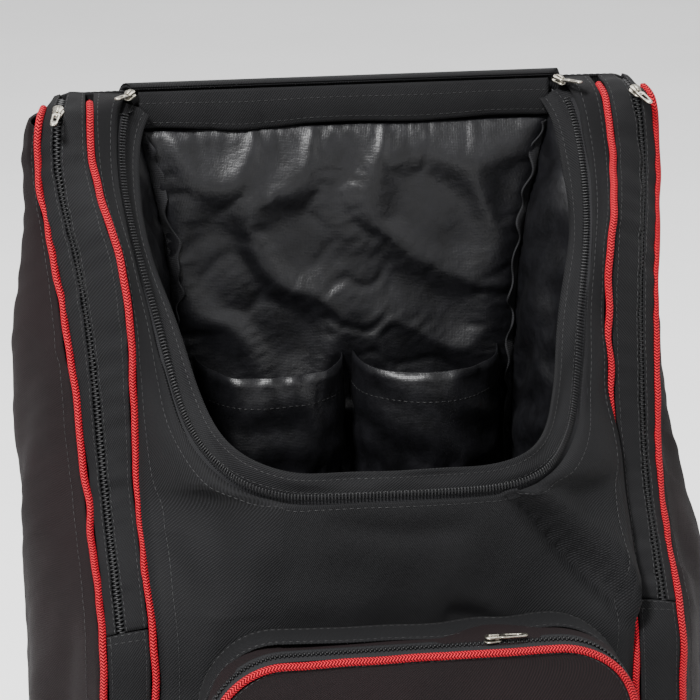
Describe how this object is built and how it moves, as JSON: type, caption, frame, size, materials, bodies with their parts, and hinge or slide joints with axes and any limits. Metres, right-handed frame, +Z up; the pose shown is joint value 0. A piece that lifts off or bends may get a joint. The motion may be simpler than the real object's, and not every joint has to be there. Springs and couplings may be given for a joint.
{
  "type": "kit bag",
  "caption": "Upright padded kit bag in charcoal twill with red piping: top flap thrown back, open mouth, inner bat sleeves, zipped side pockets and a zipped front pocket.",
  "frame": {"origin": "middle of the flat base, on the floor", "axes": "+Z up, +X to the right seen from the front, -Y out of the front, towards the open mouth and the front pocket"},
  "size_m": [0.4905, 0.3282, 0.8868],
  "materials": {
    "outer_cloth": "charcoal diagonal twill, lightly padded, matt with a soft sheen",
    "pocket_cloth": "charcoal diagonal twill with a faint warm tint",
    "lining": "glossy crumpled black nylon",
    "red_piping": "braided red cord piping",
    "zip_black": "black coil on woven tape",
    "slider_metal": "pale plated metal, lightly worn"
  },
  "bodies": {
    "root": {"back_panel": "outer_cloth", "base_panel": "outer_cloth", "bat_sleeve_left": "lining", "bat_sleeve_right": "lining", "flap": "outer_cloth", "front_panel": "outer_cloth", "gusset_inner_left": "outer_cloth", "gusset_inner_right": "outer_cloth", "gusset_lower_left": "outer_cloth", "gusset_lower_right": "outer_cloth", "gusset_outer_left": "outer_cloth", "gusset_outer_right": "outer_cloth", "lining_back": "lining", "lining_left": "lining", "lining_right": "lining", "main_slider_left": "slider_metal", "main_slider_right": "slider_metal", "main_zip_bag": "zip_black", "main_zip_flap": "zip_black", "opening_facing": "outer_cloth", "piping_inner_left": "red_piping", "piping_inner_right": "red_piping", "piping_outer_left": "red_piping", "piping_outer_right": "red_piping", "pocket_face": "pocket_cloth", "pocket_gusset": "pocket_cloth", "pocket_piping": "red_piping", "pocket_rain_flap": "outer_cloth", "pocket_slider": "slider_metal", "pocket_zip": "zip_black", "seam_binding_left": "outer_cloth", "seam_binding_right": "outer_cloth", "side_panel_left": "outer_cloth", "side_panel_right": "outer_cloth", "side_slider_left": "slider_metal", "side_slider_right": "slider_metal", "side_zip_left": "zip_black", "side_zip_right": "zip_black", "top_band": "outer_cloth"}
  },
  "joints": []
}
